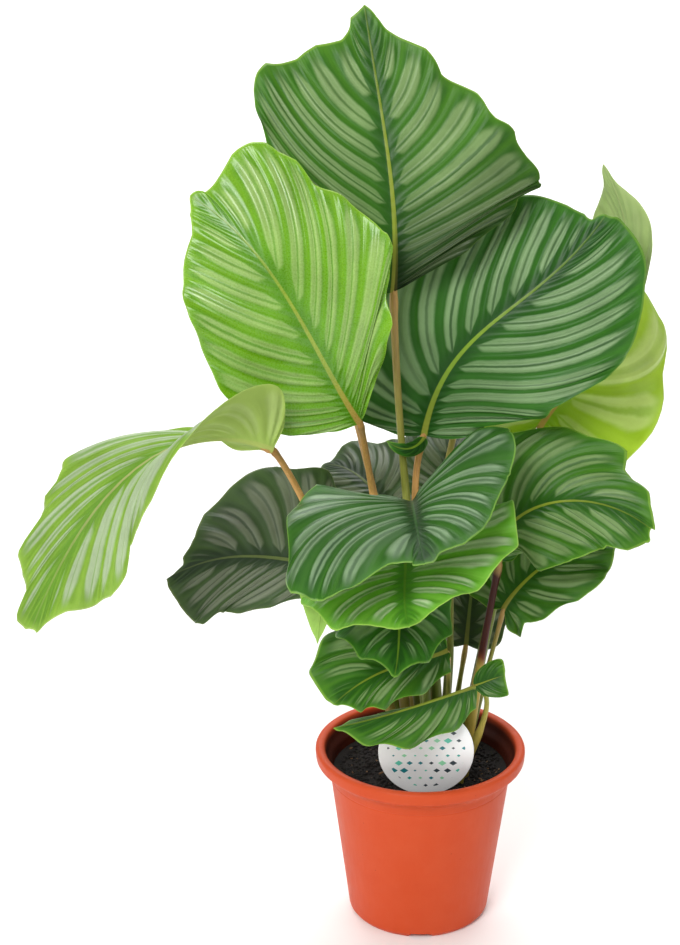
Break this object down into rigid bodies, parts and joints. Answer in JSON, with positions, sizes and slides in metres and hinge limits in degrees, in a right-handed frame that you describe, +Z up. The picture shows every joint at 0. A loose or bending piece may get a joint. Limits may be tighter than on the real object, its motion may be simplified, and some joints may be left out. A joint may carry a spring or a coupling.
{
  "type": "potted calathea",
  "caption": "Potted round-leaved calathea: broad silver-banded leaves on slender stalks rising from peat in a tapered plastic nursery pot, with a round plant tag.",
  "frame": {"origin": "centre of the pot's base, on the surface that the pot stands on", "axes": "+Z up, -Y towards the front, where the tag faces, +X to the right seen from the front"},
  "size_m": [0.5049, 0.381, 0.7362],
  "materials": {
    "pot_plastic": "moulded terracotta-coloured polypropylene, satin",
    "peat": "loose moist peat with bits of bark, rough",
    "tag_plastic": "white polystyrene card with a printed scatter pattern, satin",
    "leaf_dark": "dark green leaf with silver bands, satin wax",
    "leaf_green": "green leaf with silver bands, satin wax",
    "leaf_fresh": "young bright green leaf with pale bands, glossy wax",
    "leaf_grey": "shaded grey-green leaf with silver bands, satin wax",
    "leaf_yellow": "yellow-green young leaf with pale bands, satin wax",
    "stalk_olive": "smooth olive leaf stalk, satin",
    "stalk_tan": "smooth orange-tan leaf stalk, satin",
    "stalk_maroon": "smooth maroon leaf stalk, satin",
    "stalk_pale": "pale yellow leaf sheath, satin"
  },
  "bodies": {
    "root": {"pot": "pot_plastic", "soil": "peat", "tag": "tag_plastic", "leaf_crown": "leaf_dark", "stalk_crown": "stalk_olive", "leaf_upper_left": "leaf_fresh", "stalk_upper_left": "stalk_tan", "leaf_upper_right": "leaf_dark", "stalk_upper_right": "stalk_tan", "leaf_back_right": "leaf_yellow", "stalk_back_right": "stalk_olive", "leaf_left_drooping": "leaf_fresh", "stalk_left_drooping": "stalk_tan", "leaf_left_dark": "leaf_grey", "stalk_left_dark": "stalk_olive", "leaf_front": "leaf_dark", "stalk_front": "stalk_olive", "leaf_under_front": "leaf_green", "stalk_under_front": "stalk_olive", "leaf_right": "leaf_green", "stalk_right": "stalk_maroon", "leaf_right_lower": "leaf_green", "stalk_right_lower": "stalk_olive", "leaf_small_centre": "leaf_green", "stalk_small_centre": "stalk_olive", "leaf_lower_left": "leaf_green", "stalk_lower_left": "stalk_olive", "leaf_bottom": "leaf_green", "stalk_bottom": "stalk_pale", "leaf_shaded_left": "leaf_grey", "stalk_shaded_left": "stalk_olive", "leaf_shaded_middle": "leaf_grey", "stalk_shaded_middle": "stalk_olive", "leaf_shaded_right": "leaf_grey", "stalk_shaded_right": "stalk_olive", "leaf_rear_right": "leaf_green", "stalk_rear_right": "stalk_olive", "leaf_rear_left": "leaf_green", "stalk_rear_left": "stalk_tan"}
  },
  "joints": []
}
